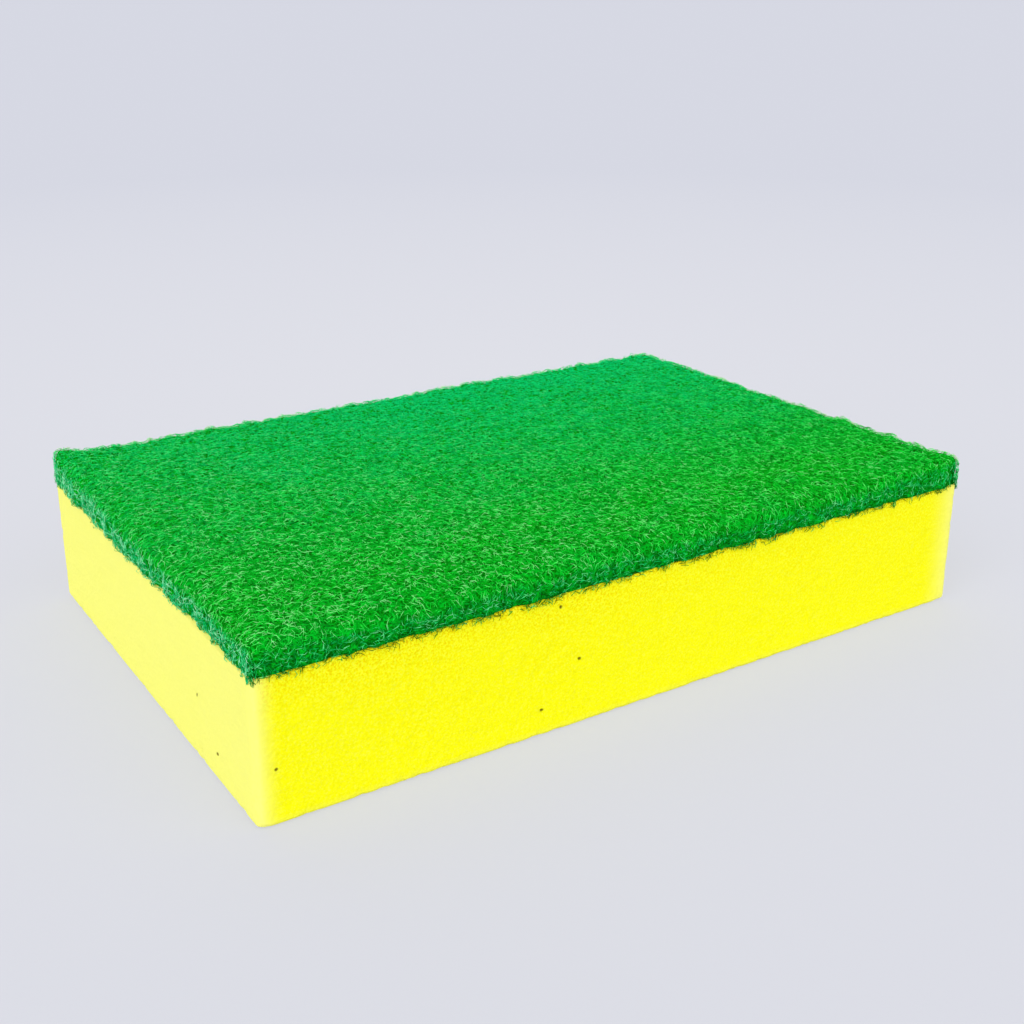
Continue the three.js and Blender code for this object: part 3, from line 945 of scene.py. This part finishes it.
# %% Layers of fibres
def lay_fibres(name, layer_lift, random):
    """One layer of fibres over the whole web."""
    sheet, lift = fibre_paths(FIBRES_IN_LAYER * SPARE_FACTOR, layer_lift, random)
    kept = np.flatnonzero(keep_on_web(sheet))[:FIBRES_IN_LAYER]
    sheet = pull_up(sheet[kept], random)
    paths, normals = wrap(sheet, lift[kept])
    thickness = random.uniform(*FIBRE_RADIUS, (len(kept), 1))
    taper = 1 - 0.45 * np.abs(np.linspace(-1, 1, FIBRE_STATIONS)) ** 4
    points = tube_points(paths, normals, thickness * taper)
    # Higher fibres get a paler shade and lower ones a darker: painted light on the tops and painted
    # shade between fibres, added to each fibre's own tone.
    height = np.clip((lift[kept] - LAYER_LIFTS[0]) / HEIGHT_RANGE, 0, 1)
    own = random.uniform(0, 1, (len(kept), 1))
    shade = OWN_SHARE * own + LIT_HEIGHT_SHARE * height
    shade = shade + random.normal(0, SHADE_SPREAD, height.shape)
    upward = normals[..., 2]
    along_x = np.abs(normals[..., 0]) > np.abs(normals[..., 1])
    far_rim = (np.maximum(normals[..., 1], normals[..., 0]) > 0.25) & (upward > 0.3)
    patchy = waves(paths[..., :2], (9.7, 6.1, 3.9, 2.7), 13) > -0.1
    # Fibres just above the foam get a darker shade: painted shade at the foot of the web.
    low = np.clip((foam_top + FOOT_SHADE_HEIGHT - paths[..., 2]) / FOOT_SHADE_HEIGHT, 0, 1)
    shade = np.clip(shade - low * FOOT_SHADE_STRENGTH, 0, 1)
    # The cut sides get their own ramps: painted shade makes the long ones dark and painted light
    # makes the short ones pale.
    cut_long = (1 - np.clip((upward - 0.1) / 0.5, 0, 1)) * ~along_x
    cut_short = (1 - np.clip((upward - 0.3) / 0.55, 0, 1)) * along_x
    # Patchy cream on the upper fibres of the far and right rims: painted backlight on the fuzz.
    lint = far_rim * patchy * random.uniform(0.4, 1, (len(kept), 1))
    marks = {"shade": shade, "cut_long": cut_long, "cut_short": cut_short, "lint": lint}
    piece = fibre_object(name, points, marks)
    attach(piece, "root")
    return piece


for layer_name, layer_lift in zip(LAYER_NAMES, LAYER_LIFTS):
    fibre_pieces.append(lay_fibres(layer_name, layer_lift, fibre_random))
print("triangles in each layer", [triangles(piece) for piece in fibre_pieces])

# %% [markdown]
# ## Finish of the web
#
# The fibres are spun nylon coated with a green resin. Light scatters between so many of
# them that the mat looks dull. Each fibre has a shade, stored on its points: partly a tone
# of its own, and partly paler the higher the fibre lies, which is painted light on the tops
# and painted shade between them. The palest ones are mint. Fibres just above the foam are
# darker, painted shade, and patchy cream on the far rims is painted backlight. Towards the
# far side the green turns cooler and calmer. The cut sides show fibre ends and are bluer,
# with painted shade making them dark on the long sides and painted light pale on the short ones.

# %% Greens
GREEN_DARK = srgb(0, 100, 0)
GREEN_MID = srgb(0, 186, 4)
GREEN_LIGHT = srgb(18, 242, 56)
GREEN_PALE = srgb(76, 255, 100)
GREEN_MINT = srgb(150, 255, 156)
GREEN_COOL = srgb(0, 236, 140)
# Cream of the painted backlight on the far rims.
RIM_BACKLIGHT_CREAM = srgb(222, 255, 196)
# Cut side greens: the dark ones are painted shade for the long sides, the pale ones painted light for
# the short ends.
CUT_DARK = srgb(0, 84, 12)
CUT_MIDDLE = srgb(0, 152, 40)
CUT_TEAL = srgb(0, 218, 130)
CUT_MINT = srgb(110, 248, 170)
CUT_PALE = srgb(180, 255, 208)
# The core's dark green is painted shade for the depth of the mat.
CORE_GREEN = srgb(0, 122, 0)
CORE_LINT = srgb(0, 212, 44)
print("middle green", [round(level, 3) for level in GREEN_MID[:3]])

# %% Fibre pattern
CLOUD_SCALE = 120
MOTTLE_SCALE = 330
CALM_MIDDLE = 0.42
CALM_CONTRAST = 0.75
MOTTLE_CONTRAST = 0.6

fibre_finish = Finish("web_fibres")
shade = fibre_finish.add("ShaderNodeAttribute", {"attribute_name": "shade"}, output="Fac")
cut_long = fibre_finish.add("ShaderNodeAttribute", {"attribute_name": "cut_long"}, output="Fac")
cut_short = fibre_finish.add("ShaderNodeAttribute", {"attribute_name": "cut_short"}, output="Fac")
lint = fibre_finish.add("ShaderNodeAttribute", {"attribute_name": "lint"}, output="Fac")
place = fibre_finish.add("ShaderNodeTexCoord", None, output="Object")
x_axis = fibre_finish.add("ShaderNodeSeparateXYZ", None, place, output="X")
y_axis = Wire(fibre_finish, x_axis.socket.node.outputs["Y"])
clouds = fibre_finish.add(
    "ShaderNodeTexNoise", None, output="Fac", Vector=place, Scale=CLOUD_SCALE, Detail=2.0
)
coolness = fibre_finish.limit(y_axis, -foam_half_y * 0.7, foam_half_y) * 0.95
coolness = coolness * (fibre_finish.limit(x_axis, -foam_half_x, 0.0) * 0.45 + 0.5)
coolness = coolness + fibre_finish.limit(clouds, 0.5, 0.72) * 0.12
far = fibre_finish.limit(x_axis + y_axis, -85 * MM, 60 * MM)
mottle = fibre_finish.add(
    "ShaderNodeTexNoise", None, output="Fac", Vector=place, Scale=MOTTLE_SCALE, Detail=1.0
)
calm_shade = CALM_MIDDLE + (shade - 0.5) * CALM_CONTRAST + (mottle - 0.5) * MOTTLE_CONTRAST
top_shade = shade + (calm_shade - shade) * far
print("nodes in the fibres' pattern", len(fibre_finish.nodes))

# %% Fibre material
top_stops = [(0.0, GREEN_DARK), (0.3, GREEN_MID), (0.54, GREEN_LIGHT)]
top_stops += [(0.76, GREEN_PALE), (0.96, GREEN_MINT)]
# Dark stops for the long sides are painted shade; pale stops for the short ends are painted light.
long_stops = [(0.0, CUT_DARK), (0.4, CUT_MIDDLE), (0.7, CUT_TEAL), (1.0, CUT_MINT)]
short_stops = [(0.0, CUT_MIDDLE), (0.35, CUT_TEAL), (0.7, CUT_MINT), (1.0, CUT_PALE)]
top_green = fibre_finish.add("ShaderNodeValToRGB", {"stops": top_stops}, top_shade, output="Color")
top_green = fibre_finish.mix(coolness, top_green, GREEN_COOL)
long_green = fibre_finish.add("ShaderNodeValToRGB", {"stops": long_stops}, shade, output="Color")
short_green = fibre_finish.add("ShaderNodeValToRGB", {"stops": short_stops}, shade, output="Color")
fibre_colour = fibre_finish.mix(cut_long * 0.7, top_green, long_green)
fibre_colour = fibre_finish.mix(cut_short, fibre_colour, short_green)
# Mixes in the painted backlight on the far rims.
fibre_colour = fibre_finish.mix(lint, fibre_colour, RIM_BACKLIGHT_CREAM)
fibre_shader = fibre_finish.add(
    "ShaderNodeBsdfPrincipled",
    None,
    Base_Color=fibre_colour,
    Roughness=0.6,
    Specular_IOR_Level=0.06,
)
fibre_material = fibre_finish.end(fibre_shader)
for piece in fibre_pieces:
    piece.data.materials.append(fibre_material)
print("pieces with fibres", [piece.name for piece in fibre_pieces])

# %% Core material
THREAD_SCALES = (900, 1400)
THREAD_HALF_WIDTH = 0.1

core_finish = Finish("web_core")
place = core_finish.add("ShaderNodeTexCoord", None, output="Object")


def threads(scale):
    """Thin winding lines: where a noise passes through its middle value."""
    field = core_finish.add(
        "ShaderNodeTexNoise", None, output="Fac", Vector=place, Scale=scale, Detail=1.0
    )
    slope = core_finish.add("ShaderNodeMath", {"operation": "ABSOLUTE"}, field - 0.5)
    return 1 - core_finish.limit(slope, 0.0, THREAD_HALF_WIDTH)


coarse, fine = [threads(scale) for scale in THREAD_SCALES]
core_threads = core_finish.add("ShaderNodeMath", {"operation": "MAXIMUM"}, coarse, fine)
core_colour = core_finish.mix(core_threads, CORE_GREEN, CORE_LINT)
core_bump = core_finish.add(
    "ShaderNodeBump", None, output="Normal", Strength=0.9, Distance=0.25 * MM, Height=core_threads
)
core_shader = core_finish.add(
    "ShaderNodeBsdfPrincipled",
    None,
    Base_Color=core_colour,
    Roughness=0.9,
    Normal=core_bump,
    Specular_IOR_Level=0.05,
)
web_core.data.materials.append(core_finish.end(core_shader))
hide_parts("scouring_web")
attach(web_core, "root")
print("nodes in the core's material", len(core_finish.nodes))
